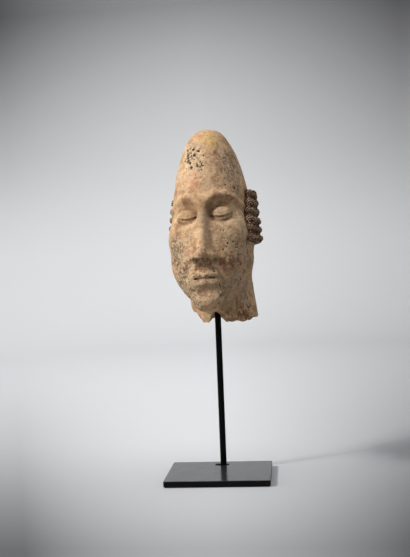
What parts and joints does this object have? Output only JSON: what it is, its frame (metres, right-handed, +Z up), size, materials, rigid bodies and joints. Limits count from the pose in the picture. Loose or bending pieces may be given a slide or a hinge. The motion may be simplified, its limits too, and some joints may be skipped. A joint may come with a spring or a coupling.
{
  "type": "terracotta head",
  "caption": "Fired-clay head with a tall skull, plaited hair and a broken hollow neck, carried by a slim upright steel rod on a flat rectangular steel foot.",
  "frame": {"origin": "middle of the foot's underside", "axes": "+Z up along the rod, +X to the viewer's right along the foot's long side, the face towards -Y"},
  "size_m": [0.1321, 0.1585, 0.4415],
  "materials": {
    "fired_clay": "unglazed, worn and pitted",
    "black_rod": "satin black",
    "black_plate": "semi-gloss black"
  },
  "bodies": {
    "root": {"terracotta_head": "fired_clay", "support_rod": "black_rod", "base_plate": "black_plate"}
  },
  "joints": []
}
